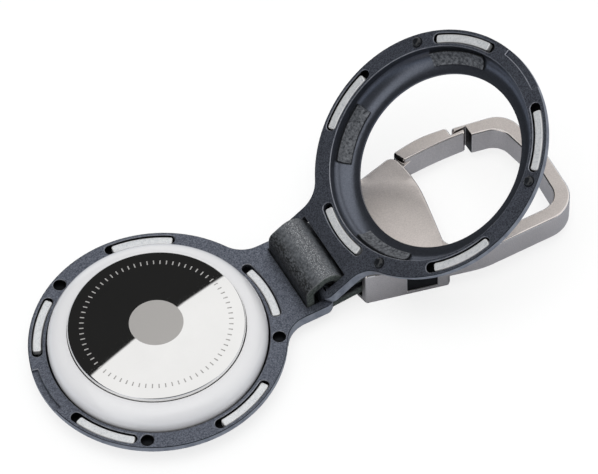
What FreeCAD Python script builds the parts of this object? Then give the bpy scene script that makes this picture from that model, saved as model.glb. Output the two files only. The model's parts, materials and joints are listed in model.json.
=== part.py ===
import FreeCAD, Part
import math
import os

# Holder for a round tracker tag: two magnetic rings hinged on a leather strap, and a small carabiner.
# Millimetres, +Z up. Everything is drawn with its zero at the middle of the tray ring's face and the
# carabiner towards +X, then moved so that the origin lies under the middle of the whole object.

# Tag: a white button with a steel battery cover
tag_radius = 15.95
tag_height = 8.0
tag_sink = 4.1                  # underside of the tag below the tray's face
tag_flat_radius = 12.0          # gently domed middle of the underside
tag_flat_rise = 0.65
tag_side_fullness = 0.45
tag_floor_wall = 0.85
tag_cavity_floor_radius = 9.5
tag_cavity_step = 2.0           # depth below the face where the cavity starts to narrow
tag_shoulder_drop = 1.15        # shoulder below the crown of the battery cover
tag_shoulder_land = 0.4
battery_cover_radius = 12.87
battery_cover_crown = 0.35
battery_cover_edge = 0.3
battery_cover_wall = 0.6
battery_cover_rim = 0.47
battery_cover_gap = 0.1
bayonet_skirt_radius = 11.0
bayonet_skirt_wall = 0.6
bayonet_tab_reach = 0.6
bayonet_tab_height = 0.45
bayonet_tab_half_angle = 10.0
bayonet_ledge_half_angle = 12.0
bayonet_count = 3
bayonet_gap = 0.12
carrier_gap = 0.07
carrier_wall = 1.15
carrier_floor = 0.45
carrier_top_drop = 0.6          # top of the carrier below the shoulder
inner_piece_gap = 0.02
board_thickness = 0.5
board_hole_radius = 6.9
coin_cell_radius = 10.0
coin_cell_thickness = 3.2
coin_cell_edge = 0.4
contact_length = 4.0
contact_width = 1.6
contact_thickness = 0.15
contact_radius = 6.5
speaker_magnet_radius = 5.2
speaker_magnet_thickness = 1.4
voice_coil_gap = 0.3
voice_coil_wall = 0.8
voice_coil_height = 1.1

# Rings
tag_side_clearance = 0.25
tag_seat_clearance = 0.1
tag_floor_clearance = 0.2
steel_clearance = 0.33          # ring opening round the battery cover
flange_width = 2.55
ring_edge_height = 1.0
rim_width = 2.0
rim_round = 0.4
back_fullness = 0.12
bowl_radius = 2.6
magnet_count = 5
magnet_half_angle = 14.75
magnet_width = 1.23
magnet_thickness = 1.0
magnet_recess = 0.22
magnet_side_clearance = 0.17
magnet_end_angle = 2.5          # degrees of slot past each end of a magnet
magnet_floor_gap = 0.03
magnet_shift_angle = 1.3        # degrees that a magnet sits off the middle of its slot
tray_magnet_sides = (-1, -1, -1, 1, 1)
cover_magnet_sides = (0, 1, -1, 1, 1)
peg_angles = (29.0, 122.0, -118.0)
peg_radius = 0.75
peg_shank_depth = 1.1
peg_height = 0.6
peg_dome = 0.45
peg_dome_fullness = 0.4
peg_tip_radius = 0.2
peg_fit = 0.02
socket_clearance = 0.2
socket_spare_depth = 0.35
thumb_notch_half_angle = 12.0
thumb_notch_width = 0.9
thumb_notch_depth = 0.45
pad_angles = (-138.0, -57.0, 22.0, 105.0)
pad_half_angle = 16.5
pad_thickness = 0.38
pad_start_angle = 12.0          # degrees down the bowl's curve
pad_end_angle = 70.0

# Strap and the two hinges that it makes with the rings
strap_width = 11.6
strap_thickness = 1.2
strap_side_clearance = 0.2
strap_wrap_clearance = 0.2
strap_shoulder_radius = 0.5     # inside of the bend above the tray's slot
strap_shoulder_back = 1.5       # middle of that bend from the cover's hinge
strap_shoulder_rise = 1.07
strap_ridge_radius = 1.2        # inside of the bend down into the cover's slot
strap_ridge_reach = 1.45        # middle of that bend from the cover's hinge
strap_ridge_angle = 76.0
strap_pin_radius = 0.5
strap_pin_clearance = 0.1
strap_roof_clearance = 0.2
strap_dip_radius = 1.6          # hollow bend above the carabiner's mouth
strap_dip_lead = 1.3            # from the hollow bend to the mouth
neck_length = 5.75
neck_thickness = 1.8
neck_rail = 1.3
neck_corner = 1.6
neck_blend = 4.5
slot_spare = 0.12
face_gap = 0.1                  # between the closed rings
cover_rest_tilt = 32.0          # the open cover leans on the carabiner at this angle

# Carabiner
strap_free_length = 5.9         # hinge line to the carabiner's end
carabiner_length = 34.3
carabiner_half_width = 11.35
base_height = 6.57
base_length = 12.0
base_end_half_width = 7.0
base_taper_length = 17.2
base_wall = 0.8
base_corner = 0.5
base_end_bow = 1.6              # to where the tangents of the bow meet
base_end_share = 0.9            # part of each half of the base's end that its bow takes
base_step_slope = 0.9
shield_length = 15.2
shield_crown = 0.65
shield_round = 0.45
shield_near_setback = 2.8
shield_far_setback = 0.9
shield_bulge = 0.47             # where the shield reaches furthest into the eye, part of its half width
shield_edge_share = 0.62        # part of the shield's shorter side that the rounding there takes
shield_near_bar = 1.1           # loop bar where it leaves the shield
loop_height = 4.67
loop_bar = 2.3
loop_edge = 0.28
loop_end_bow = 1.3
loop_end_share = 0.3            # part of the loop's end that its rounding takes to each side
loop_outer_corner = 5.0
loop_inner_corner = 3.0
hook_corner = 4.0
loop_taper_round = 14.0
hook_drop = 0.7                 # hook outside below the gate outside
hook_fall = 1.5                 # slope of the hook's outside towards the corner
hook_lip = 0.85
hook_lip_length = 2.2
hook_nose_round = 0.5
hook_nose_setback = 7.9         # hook's inner end face before the carabiner's end
hook_gap = 0.15
gate_tip_gap = 0.5
gate_end_slant = 0.45
gate_bow = 0.056                # part of the gate's length
gate_bow_share = 0.5            # part of each half of the gate that its bow takes
gate_bar = 2.3
gate_tongue = 0.85
gate_pivot_x = 12.1             # from the carabiner's end
gate_pivot_inset = 2.85         # from the gate's outside
gate_pin_radius = 0.45
gate_pin_fit = 0.05
gate_pin_seat = 0.5
gate_knuckle_radius = 1.35
gate_knuckle_clearance = 0.2
gate_ear = 0.9
gate_pocket_angle = 45.0        # degrees to each side of the shut gate
gate_height_gap = 0.1
gate_body_start = 2.7           # pivot to the full height part of the gate
gate_web_half_width = 1.05
spring_wire = 0.22
spring_wire_sides = 6
spring_gap = 0.14
spring_pitch = 0.29
spring_turns = 3
spring_heading_share = 0.01     # part of a turn that gives the wire's first heading
spring_well_spare = 0.2
mouth_side_clearance = 0.3
mouth_depth = 4.8
lip_relief = 0.6                # fall of the mouth's lower lip to its outside
strap_pin_setback = 2.2         # strap pin behind the carabiner's end
strap_pin_seat = 0.6
strap_pin_fit = 0.03
plate_setback = 0.9
plate_edge = 1.0
plate_fit = 0.05
window_length = 4.6
window_height = 4.1
window_start = 6.2
window_floor = 0.65
window_depth = 0.8
window_recess = 0.2
window_fit = 0.03

FULL_TURN = 360.0
DOWN = FreeCAD.Vector(0, 0, -1)
ALONG_X = FreeCAD.Vector(1, 0, 0)
ALONG_Y = FreeCAD.Vector(0, 1, 0)
ALONG_Z = FreeCAD.Vector(0, 0, 1)
ZERO = FreeCAD.Vector(0, 0, 0)

# Sizes that follow from the ones above
ring_inner_radius = tag_radius + tag_side_clearance
ring_outer_radius = ring_inner_radius + flange_width
band_radius = ring_inner_radius + flange_width / 2
lip_radius = battery_cover_radius + steel_clearance
shell_depth = tag_sink + tag_floor_clearance
bar_radius = neck_thickness / 2
neck_half_width = strap_width / 2 + strap_side_clearance + neck_rail
hinge_x = ring_outer_radius + neck_length
tray_hinge = FreeCAD.Vector(hinge_x, 0, -bar_radius)
cover_hinge = FreeCAD.Vector(hinge_x, 0, bar_radius + face_gap)
cover_swing = 180.0 - cover_rest_tilt
carabiner_x = hinge_x + strap_free_length
base_start = carabiner_x - base_end_bow
base_bottom = -shell_depth
loop_top = base_bottom + base_height
loop_bottom = loop_top - loop_height
ceiling = loop_top - base_wall
plate_top = base_bottom + base_wall
strap_pin_wrap = strap_pin_radius + strap_pin_clearance + strap_thickness
strap_pin_place = FreeCAD.Vector(carabiner_x + strap_pin_setback, 0,
                                 ceiling - strap_roof_clearance - strap_pin_wrap)
strap_left = hinge_x - strap_shoulder_back - strap_shoulder_radius - strap_thickness
tray_slot_reach = hinge_x - strap_left + slot_spare
cover_slot_reach = strap_ridge_reach + strap_ridge_radius + strap_thickness + slot_spare
gate_pivot_y = carabiner_half_width - gate_pivot_inset
gate_pivot = FreeCAD.Vector(carabiner_x + gate_pivot_x, gate_pivot_y, 0)


def vector(x, y, z):
    return FreeCAD.Vector(x, y, z)


def circle_through(a, b, c):
    """Centre and radius of the circle through three (r, z) points."""
    d = 2 * (a[0] * (b[1] - c[1]) + b[0] * (c[1] - a[1]) + c[0] * (a[1] - b[1]))
    sq = [p[0] ** 2 + p[1] ** 2 for p in (a, b, c)]
    x = (sq[0] * (b[1] - c[1]) + sq[1] * (c[1] - a[1]) + sq[2] * (a[1] - b[1])) / d
    z = (sq[0] * (c[0] - b[0]) + sq[1] * (a[0] - c[0]) + sq[2] * (b[0] - a[0])) / d
    return (x, z), math.hypot(a[0] - x, a[1] - z)


def bulge(a, corner, b, fullness):
    """Middle point of an arc from a to b that leans towards the corner."""
    middle = ((a[0] + b[0]) / 2, (a[1] + b[1]) / 2)
    return tuple(m + fullness * (c - m) for m, c in zip(middle, corner))


def dome_middle(radius, rise):
    """Point half way out on a dome of a given rise: its distance out and its drop below the top."""
    curve = (radius ** 2 + rise ** 2) / (2 * rise)
    return radius / 2, curve - math.sqrt(curve ** 2 - radius ** 2 / 4)


def profile_wire(steps):
    """Closed wire in the XZ plane: each step is (point,) for a line or (middle, point) for an arc."""
    place = lambda p: vector(p[0], 0, p[1])
    edges = []
    here = steps[-1][-1]
    for step in steps:
        there = step[-1]
        if len(step) == 2:
            edges.append(Part.Arc(place(here), place(step[0]), place(there)).toShape())
        else:
            edges.append(Part.LineSegment(place(here), place(there)).toShape())
        here = there
    return Part.Wire(edges)


def turned(steps, angle=FULL_TURN):
    """Solid of revolution about Z."""
    return Part.Face(profile_wire(steps)).revolve(ZERO, ALONG_Z, angle)


def sector(r0, r1, z0, z1, middle, half_angle):
    """Piece of a flat ring, centred on the angle middle."""
    solid = turned([((r0, z0),), ((r1, z0),), ((r1, z1),), ((r0, z1),)], 2 * half_angle)
    solid.rotate(ZERO, ALONG_Z, middle - half_angle)
    return solid


def at_angle(radius, angle, z):
    a = math.radians(angle)
    return vector(radius * math.cos(a), radius * math.sin(a), z)


def ring_slot(radius, width, half_angle, z0, z1, middle):
    """Round-ended slot along a ring."""
    end = half_angle - math.degrees(width / 2 / radius)
    slot = sector(radius - width / 2, radius + width / 2, z0, z1, middle, end)
    ends = [Part.makeCylinder(width / 2, z1 - z0, at_angle(radius, middle + s * end, z0)) for s in (-1, 1)]
    return slot.fuse(ends)


def rounded_outline(corners):
    """Closed wire in the XY plane through (x, y, corner radius)."""
    points = [vector(x, y, 0) for x, y, _ in corners]
    stops = []
    for i, (_, _, radius) in enumerate(corners):
        here = points[i]
        back = (points[i - 1] - here).normalize()
        ahead = (points[(i + 1) % len(points)] - here).normalize()
        half = back.getAngle(ahead) / 2
        if radius == 0:
            stops.append((here, None, here))
            continue
        leg = radius / math.tan(half)
        inward = (back + ahead).normalize()
        middle = here + inward * (radius / math.sin(half) - radius)
        stops.append((here + back * leg, middle, here + ahead * leg))
    edges = []
    for i, (start, middle, end) in enumerate(stops):
        if middle is not None:
            edges.append(Part.Arc(start, middle, end).toShape())
        edges.append(Part.LineSegment(end, stops[(i + 1) % len(stops)][0]).toShape())
    return Part.Wire(edges)


def share_radius(before, corner, after, share):
    """Radius of a corner whose rounding takes a share of its shorter side."""
    back = vector(before[0] - corner[0], before[1] - corner[1], 0)
    ahead = vector(after[0] - corner[0], after[1] - corner[1], 0)
    return share * min(back.Length, ahead.Length) * math.tan(back.getAngle(ahead) / 2)


def prism(wire, z0, z1):
    face = Part.Face(wire)
    face.translate(vector(0, 0, z0))
    return face.extrude(vector(0, 0, z1 - z0))


def box(x0, x1, y0, y1, z0, z1):
    return Part.makeBox(x1 - x0, y1 - y0, z1 - z0, vector(x0, y0, z0))


def level_edges(shape, z):
    """Edges that lie flat at the height z."""
    return [e for e in shape.Edges if max(abs(e.BoundBox.ZMin - z), abs(e.BoundBox.ZMax - z)) < 1e-4]


# Tag profile, from which the rings take their seat
tag_bottom = -tag_sink
tag_top = tag_height - tag_sink
shoulder_z = tag_top - tag_shoulder_drop
tag_flat_edge = (tag_flat_radius, tag_bottom + tag_flat_rise)
tag_equator = (tag_radius, 0.0)
tag_side_middle = bulge(tag_flat_edge, (tag_radius, tag_flat_edge[1]), tag_equator, tag_side_fullness)
well_radius = battery_cover_radius + battery_cover_gap
shoulder_edge = (well_radius + tag_shoulder_land, shoulder_z)


def tag_underside(radius):
    """Height of the tag's lower side curve at a radius."""
    centre, curve = circle_through(tag_flat_edge, tag_side_middle, tag_equator)
    return centre[1] - math.sqrt(curve ** 2 - (radius - centre[0]) ** 2)


lip_front = tag_underside(lip_radius) - tag_seat_clearance
bowl_centre = (ring_inner_radius - bowl_radius, lip_front + bowl_radius)


def on_bowl(angle, inset):
    """Point on the bowl's curve, angle measured down from its wall."""
    a = math.radians(angle)
    r = bowl_radius - inset
    return (bowl_centre[0] + r * math.cos(a), bowl_centre[1] - r * math.sin(a))


def ring_neck(slot_reach):
    """Flat tongue from a ring to its hinge bar, with the strap's slot through it."""
    plan = rounded_outline([
        (0, -neck_half_width, 0),
        (hinge_x + bar_radius, -neck_half_width, neck_corner),
        (hinge_x + bar_radius, neck_half_width, neck_corner),
        (0, neck_half_width, 0),
    ])
    tongue = prism(plan, -neck_thickness, 0)
    nose = Part.makeCylinder(bar_radius, 2 * neck_half_width, tray_hinge - ALONG_Y * neck_half_width, ALONG_Y)
    body = box(0, hinge_x, -neck_half_width, neck_half_width, -neck_thickness, 0)
    tongue = tongue.common(body.fuse(nose))
    slot_half = strap_width / 2 + strap_side_clearance
    slot = box(hinge_x - slot_reach, hinge_x, -slot_half, slot_half, -neck_thickness, 0)
    return tongue.cut(slot.cut(nose))


def neck_blends():
    """Hollow corners between the ring's rim and the sides of its neck."""
    side = neck_half_width + neck_blend
    centre_x = math.sqrt((ring_outer_radius + neck_blend) ** 2 - side ** 2)
    touch = ring_outer_radius / (ring_outer_radius + neck_blend)
    solids = []
    for sign in (-1, 1):
        corner = Part.makePolygon([
            vector(centre_x * touch, sign * side * touch, 0),
            vector(centre_x, sign * side, 0),
            vector(centre_x, sign * neck_half_width, 0),
            vector(centre_x * touch, 0, 0),
            vector(centre_x * touch, sign * side * touch, 0),
        ])
        round_cut = Part.makeCylinder(neck_blend, neck_thickness,
                                      vector(centre_x, sign * side, -neck_thickness))
        solids.append(prism(corner, -neck_thickness, 0).cut(round_cut))
    return solids


def ring_shell(slot_reach):
    """Ring with its neck, bowl and magnet slots, face up at z = 0."""
    rim_inner = lip_radius + rim_round
    rim_outer = lip_radius + rim_width
    edge_end = (ring_outer_radius, -ring_edge_height)
    rim_edge = (rim_outer, -shell_depth)
    back = bulge(edge_end, (ring_outer_radius, -shell_depth), rim_edge, back_fullness)
    solid = turned([
        ((ring_inner_radius, 0.0),),
        ((ring_outer_radius, 0.0),),
        (edge_end,),
        (back, rim_edge),
        ((rim_inner, -shell_depth),),
        ((lip_radius, rim_round - shell_depth),),
        ((lip_radius, lip_front),),
        ((bowl_centre[0], lip_front),),
        (on_bowl(45.0, 0.0), on_bowl(0.0, 0.0)),
    ])
    hollow = Part.makeCylinder(ring_outer_radius - flange_width / 2, neck_thickness,
                               vector(0, 0, -neck_thickness))
    neck = ring_neck(slot_reach).fuse(neck_blends()).cut(hollow)
    solid = solid.fuse(neck)
    slot_width = magnet_width + 2 * magnet_side_clearance
    slot_depth = magnet_recess + magnet_thickness + magnet_floor_gap
    slot_half = magnet_half_angle + magnet_end_angle
    cuts = [
        ring_slot(band_radius, slot_width, slot_half, -slot_depth, 0, FULL_TURN * n / magnet_count)
        for n in range(magnet_count)
    ]
    cuts.append(sector(ring_outer_radius - thumb_notch_width, ring_outer_radius + flange_width,
                       -thumb_notch_depth, 0, 180.0, thumb_notch_half_angle))
    return solid.cut(cuts).removeSplitter()


def magnet(index, side):
    half = magnet_width / 2
    middle = FULL_TURN * index / magnet_count + side * magnet_shift_angle
    return sector(band_radius - half, band_radius + half, -magnet_recess - magnet_thickness, -magnet_recess,
                  middle, magnet_half_angle)


def bored(solid, angle, radius, depth):
    return solid.cut(Part.makeCylinder(radius, depth, at_angle(band_radius, angle, 0), DOWN))


def locating_peg(angle):
    dome_start = (peg_radius, peg_height - peg_dome)
    dome_end = (peg_tip_radius, peg_height)
    steps = [
        ((0.0, -peg_shank_depth),),
        ((peg_radius, -peg_shank_depth),),
        (dome_start,),
        (bulge(dome_start, (peg_radius, peg_height), dome_end, peg_dome_fullness), dome_end),
        ((0.0, peg_height),),
    ]
    peg = turned(steps)
    peg.translate(at_angle(band_radius, angle, 0))
    return peg


def grip_pad(angle):
    """Thin friction pad on the cover's bowl."""
    near = inner_piece_gap
    far = inner_piece_gap + pad_thickness
    middle = (pad_start_angle + pad_end_angle) / 2
    pad = turned([
        (on_bowl(pad_start_angle, near),),
        (on_bowl(middle, near), on_bowl(pad_end_angle, near)),
        (on_bowl(pad_end_angle, far),),
        (on_bowl(middle, far), on_bowl(pad_start_angle, far)),
    ], 2 * pad_half_angle)
    pad.rotate(ZERO, ALONG_Z, angle - pad_half_angle)
    return pad


def open_cover(shape):
    """Turn a piece of the cover over onto the tray, then open it about its hinge."""
    shape.rotate(ZERO, ALONG_X, 180.0)
    shape.translate(vector(0, 0, face_gap))
    shape.rotate(cover_hinge, ALONG_Y, cover_swing)
    return shape


def tray_pieces():
    ring = ring_shell(tray_slot_reach)
    for angle in peg_angles:
        ring = bored(ring, -angle, peg_radius + socket_clearance, peg_height + socket_spare_depth)
    pieces = {"tray_ring": ring}
    for n, side in enumerate(tray_magnet_sides):
        pieces[f"tray_magnet_{n + 1}"] = magnet(n, side)
    return pieces


def cover_pieces():
    ring = ring_shell(cover_slot_reach)
    pieces = {}
    for n, angle in enumerate(peg_angles):
        ring = bored(ring, angle, peg_radius + peg_fit, peg_shank_depth + peg_fit)
        pieces[f"locating_peg_{n + 1}"] = locating_peg(angle)
    for n, side in enumerate(cover_magnet_sides):
        pieces[f"cover_magnet_{n + 1}"] = magnet(n, side)
    for n, angle in enumerate(pad_angles):
        pieces[f"grip_pad_{n + 1}"] = grip_pad(angle)
    pieces["cover_ring"] = ring
    return {name: open_cover(shape) for name, shape in pieces.items()}


def belt_face(pulleys, offset):
    """Face inside a belt round pulleys of (x, z, signed radius); a negative radius bends the other way."""
    normals = []
    for i, (x, z, radius) in enumerate(pulleys):
        next_x, next_z, next_radius = pulleys[(i + 1) % len(pulleys)]
        span = math.hypot(next_x - x, next_z - z)
        heading = math.atan2(next_z - z, next_x - x)
        normals.append(heading + math.acos((radius - next_radius) / span))
    steps = []
    for i, (x, z, radius) in enumerate(pulleys):
        reach = radius + offset
        start = normals[i - 1]
        turn = (start - normals[i]) % (2 * math.pi)
        if radius < 0:
            turn -= 2 * math.pi
        spot = lambda a: (x + reach * math.cos(a), z + reach * math.sin(a))
        steps.append((spot(start),))
        steps.append((spot(start - turn / 2), spot(start - turn)))
    return Part.Face(profile_wire(steps))


def strap():
    """Leather loop round both hinge bars and the strap pin: up from the tray, then over the cover's bar."""
    half = strap_thickness / 2
    at_bar = bar_radius + strap_wrap_clearance + half
    at_shoulder = strap_shoulder_radius + half
    at_ridge = strap_ridge_radius + half
    at_pin = strap_pin_radius + strap_pin_clearance + half
    ridge_angle = math.radians(strap_ridge_angle)
    pulleys = [
        (strap_left + half + at_bar, tray_hinge.z, at_bar),
        (strap_left + half + at_shoulder, cover_hinge.z + strap_shoulder_rise, at_shoulder),
        (cover_hinge.x + strap_ridge_reach * math.cos(ridge_angle),
         cover_hinge.z + strap_ridge_reach * math.sin(ridge_angle), at_ridge),
        (carabiner_x - strap_dip_lead, strap_pin_place.z + at_pin + strap_dip_radius, -strap_dip_radius),
        (strap_pin_place.x, strap_pin_place.z, at_pin),
    ]
    section = belt_face(pulleys, half).cut(belt_face(pulleys, -half))
    section.translate(vector(0, -strap_width / 2, 0))
    return section.extrude(vector(0, strap_width, 0))


def base_half_width(x):
    """Half the width of the carabiner's tapering base at a distance from its end."""
    return base_end_half_width + (carabiner_half_width - base_end_half_width) * x / base_taper_length


def base_end():
    """Corners of the bowed end of the base, from its far side to its near side."""
    far = (carabiner_x, base_end_half_width)
    middle = (base_start, 0.0)
    near = (carabiner_x, -base_end_half_width)
    bow = share_radius(far, middle, near, base_end_share)
    return [(*far, base_corner), (*middle, bow), (*near, base_corner)]


def shield_side(near):
    """Corners of the shield's edge beyond its near corner, to its far side."""
    far_at = shield_length - shield_far_setback
    far = (carabiner_x + far_at, base_half_width(far_at))
    middle = (carabiner_x + shield_length, shield_bulge * far[1])
    rounding = share_radius(near, middle, far, shield_edge_share)
    return [(*middle, rounding), (*far, gate_knuckle_radius)]


def carabiner_outline():
    """Plan of the frame: tapering base, loop and hook, with the eye open where the gate closes it."""
    x0 = carabiner_x
    tip = x0 + carabiner_length
    wide = carabiner_half_width
    hook_y = wide - hook_drop
    nose_x = tip - hook_nose_setback - hook_lip_length
    near_at = shield_length - shield_near_setback
    near = (x0 + near_at, shield_near_bar - base_half_width(near_at))
    outer = [(tip - loop_end_bow / 2, -wide), (tip, 0.0), (tip - loop_end_bow, hook_y - hook_fall)]
    inner = [
        (tip - loop_end_bow / 2 - loop_bar, loop_bar - wide),
        (tip - loop_bar, 0.0),
        (tip - loop_end_bow - loop_bar, hook_y - loop_bar - loop_end_bow),
    ]
    return rounded_outline(base_end() + [
        (x0 + base_taper_length, -wide, loop_taper_round),
        (*outer[0], loop_outer_corner),
        (*outer[1], share_radius(*outer, loop_end_share)),
        (*outer[2], hook_corner),
        (nose_x, hook_y, hook_nose_round),
        (nose_x, hook_y - loop_bar, hook_nose_round),
        (*inner[2], loop_inner_corner),
        (*inner[1], share_radius(*inner, loop_end_share)),
        (*inner[0], loop_inner_corner),
        (*near, loop_inner_corner),
    ] + shield_side(near))


def shield_outline():
    """Plan of the base under the domed shield."""
    near_at = shield_length - shield_near_setback
    near = (carabiner_x + near_at, -base_half_width(near_at))
    return rounded_outline(base_end() + [(*near, base_corner)] + shield_side(near))


def lower_base():
    """Deeper end of the base, sloping up to the loop at its step."""
    x1 = carabiner_x + base_length
    rise = loop_bottom - base_bottom
    top = loop_bottom + loop_edge
    side = Part.Face(Part.makePolygon([
        vector(base_start, 0, base_bottom),
        vector(x1, 0, base_bottom),
        vector(x1 + rise * base_step_slope, 0, loop_bottom),
        vector(x1 + rise * base_step_slope, 0, top),
        vector(base_start, 0, top),
        vector(base_start, 0, base_bottom),
    ]))
    side.translate(ALONG_Y * -carabiner_half_width)
    block = side.extrude(ALONG_Y * (2 * carabiner_half_width))
    return block.common(prism(shield_outline(), base_bottom, top))


def domed_shield():
    """Soft crown on top of the base."""
    across = base_half_width(shield_length / 2)
    radius = (across ** 2 + shield_crown ** 2) / (2 * shield_crown)
    centre = vector(carabiner_x + shield_length / 2, 0, loop_top + shield_crown - radius)
    block = prism(shield_outline(), ceiling, loop_top + 2 * shield_crown)
    crown = block.common(Part.makeSphere(radius, centre))
    top = max(crown.Faces, key=lambda f: f.CenterOfMass.z)
    return crown.makeFillet(shield_round, top.Edges)


def plate_outline(fit):
    """Plan of the base plate, inside the walls of the base."""
    x0 = carabiner_x + plate_setback - fit
    x1 = carabiner_x + base_length - plate_edge + fit
    near = base_half_width(plate_setback) - plate_edge + fit
    far = base_half_width(base_length - plate_edge) - plate_edge + fit
    return rounded_outline([(x0, -near, 0), (x1, -far, 0), (x1, far, 0), (x0, near, 0)])


def window_block(inset, depth0, depth1):
    """Block on the base's near wall between two depths below its surface."""
    slope = math.degrees(math.atan2(carabiner_half_width - base_end_half_width, base_taper_length))
    z0 = base_bottom + window_floor + inset
    z1 = base_bottom + window_floor + window_height - inset
    block = box(window_start + inset, window_start + window_length - inset, depth0, depth1, z0, z1)
    block.rotate(ZERO, ALONG_Z, -slope)
    block.translate(vector(carabiner_x, -base_end_half_width, 0))
    return block


def gate_pocket():
    """Room in the base for the gate's knuckle and its swing, open to the eye and the far side."""
    z0 = loop_bottom + gate_ear
    radius = gate_knuckle_radius + gate_knuckle_clearance
    knuckle = Part.makeCylinder(radius, ceiling - z0, gate_pivot + ALONG_Z * z0)
    reach = carabiner_half_width
    swing = box(0, reach, -radius, radius, z0, ceiling)
    swing.translate(gate_pivot)
    opened = swing.copy()
    opened.rotate(gate_pivot, ALONG_Z, -gate_pocket_angle)
    outward = swing.copy()
    outward.rotate(gate_pivot, ALONG_Z, gate_pocket_angle)
    return knuckle.fuse([swing, opened, outward])


def hook_notch():
    """Room under the hook's lip for the tongue of the gate."""
    end_x = carabiner_x + carabiner_length - hook_nose_setback
    top_y = carabiner_half_width - hook_drop - hook_lip
    return box(end_x - 2 * hook_lip_length, end_x, top_y - 2 * loop_bar, top_y, loop_bottom, loop_top)


def carabiner_frame():
    loop = prism(carabiner_outline(), loop_bottom, loop_top)
    loop = loop.makeChamfer(loop_edge, level_edges(loop, loop_top) + level_edges(loop, loop_bottom))
    frame = loop.fuse([lower_base(), domed_shield()])
    mouth_half = strap_width / 2 + mouth_side_clearance
    mouth = box(base_start, carabiner_x + mouth_depth, -mouth_half, mouth_half, plate_top, ceiling)
    lip_slope = Part.Face(Part.makePolygon([
        vector(carabiner_x, -mouth_half, plate_top),
        vector(base_start, -mouth_half, plate_top),
        vector(base_start, -mouth_half, plate_top - lip_relief),
        vector(carabiner_x, -mouth_half, plate_top),
    ])).extrude(ALONG_Y * (2 * mouth_half))
    plate_seat = prism(plate_outline(plate_fit), base_bottom, plate_top)
    seat_half = mouth_half + strap_pin_seat
    pin_room = strap_pin_radius + strap_pin_fit
    groove = box(strap_pin_place.x - pin_room, strap_pin_place.x + pin_room, -seat_half, seat_half,
                 plate_top, strap_pin_place.z)
    groove_end = Part.makeCylinder(pin_room, 2 * seat_half, strap_pin_place - ALONG_Y * seat_half, ALONG_Y)
    pin_hole = Part.makeCylinder(gate_pin_radius + gate_pin_fit, ceiling + gate_pin_seat - loop_bottom,
                                 gate_pivot + ALONG_Z * loop_bottom)
    window = window_block(0, -window_depth, window_depth)
    return frame.cut([mouth, lip_slope, plate_seat, groove, groove_end, gate_pocket(), pin_hole, window,
                      hook_notch()])


def gate():
    """Sprung bar that closes the eye, thinned at its pivot to run under the shield."""
    x0 = gate_pivot.x
    outside = carabiner_half_width
    inside = outside - gate_bar
    nose_x = carabiner_x + carabiner_length - hook_nose_setback
    tongue_y = outside - hook_drop - hook_lip - hook_gap
    step_x = nose_x - hook_lip_length - gate_tip_gap
    start = x0 + gate_body_start
    bow = gate_bow * (step_x - start)
    root = (start + gate_end_slant, inside - bow / 2)
    hollow = ((start + nose_x) / 2, inside)
    tip = (nose_x - gate_tip_gap, tongue_y - gate_tongue)
    step = (step_x, outside - bow / 2)
    crown = ((start + step_x) / 2, outside + bow / 2)
    heel = (start - gate_end_slant, outside - bow)
    bar = prism(rounded_outline([
        (*root, hook_nose_round),
        (*hollow, share_radius(root, hollow, tip, gate_bow_share)),
        (*tip, hook_nose_round),
        (tip[0], tongue_y, 0),
        (step_x, tongue_y, 0),
        (*step, hook_nose_round),
        (*crown, share_radius(step, crown, heel, gate_bow_share)),
        (*heel, hook_nose_round),
    ]), loop_bottom, loop_top)
    bar = bar.makeChamfer(loop_edge, level_edges(bar, loop_top) + level_edges(bar, loop_bottom))
    z0 = loop_bottom + gate_ear + gate_height_gap
    z1 = ceiling - gate_height_gap
    knuckle = Part.makeCylinder(gate_knuckle_radius, z1 - z0, gate_pivot + ALONG_Z * z0)
    web = prism(rounded_outline([
        (x0, gate_pivot_y - gate_web_half_width, 0),
        (start + gate_bar, inside, 0),
        (start + gate_bar, outside - bow, 0),
        (x0, gate_pivot_y + gate_web_half_width, 0),
    ]), z0, z1)
    bore = Part.makeCylinder(gate_pin_radius + gate_pin_fit, z1 - z0, gate_pivot + ALONG_Z * z0)
    spring_well = gate_pin_radius + gate_pin_fit + 2 * spring_gap + spring_wire
    well = Part.makeCylinder(spring_well, spring_well_depth(), gate_pivot + ALONG_Z * z0)
    return bar.fuse([knuckle, web]).cut([bore, well]).removeSplitter()


def spring_well_depth():
    return spring_turns * spring_pitch + spring_wire + spring_well_spare


def gate_spring():
    """Coil round the gate pin, hidden in the knuckle."""
    radius = gate_pin_radius + gate_pin_fit + spring_gap + spring_wire / 2
    z0 = loop_bottom + gate_ear + gate_height_gap + spring_wire / 2

    def point(turn):
        return gate_pivot + at_angle(radius, FULL_TURN * turn, z0 + spring_pitch * turn)

    quarters = [n / 4 for n in range(4 * spring_turns)]
    arcs = [Part.Arc(point(t), point(t + 0.125), point(t + 0.25)).toShape() for t in quarters]
    heading = point(spring_heading_share) - point(0)
    circle = Part.makeCircle(spring_wire / 2, point(0), heading)
    ring = Part.makePolygon(circle.discretize(spring_wire_sides + 1))
    return Part.Wire(arcs).makePipeShell([ring], True, False)


def carabiner_pieces():
    pin_half = strap_width / 2 + mouth_side_clearance + strap_pin_seat - strap_pin_fit
    gate_pin_length = ceiling + gate_pin_seat - gate_pin_fit - loop_bottom
    return {
        "carabiner_frame": carabiner_frame(),
        "base_plate": prism(plate_outline(0), base_bottom, plate_top - plate_fit),
        "strap_pin": Part.makeCylinder(strap_pin_radius, 2 * pin_half, strap_pin_place - ALONG_Y * pin_half,
                                       ALONG_Y),
        "window_plug": window_block(window_fit, window_recess, window_depth - window_fit),
        "gate_pin": Part.makeCylinder(gate_pin_radius, gate_pin_length, gate_pivot + ALONG_Z * loop_bottom),
        "gate_spring": gate_spring(),
        "gate": gate(),
    }


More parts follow.
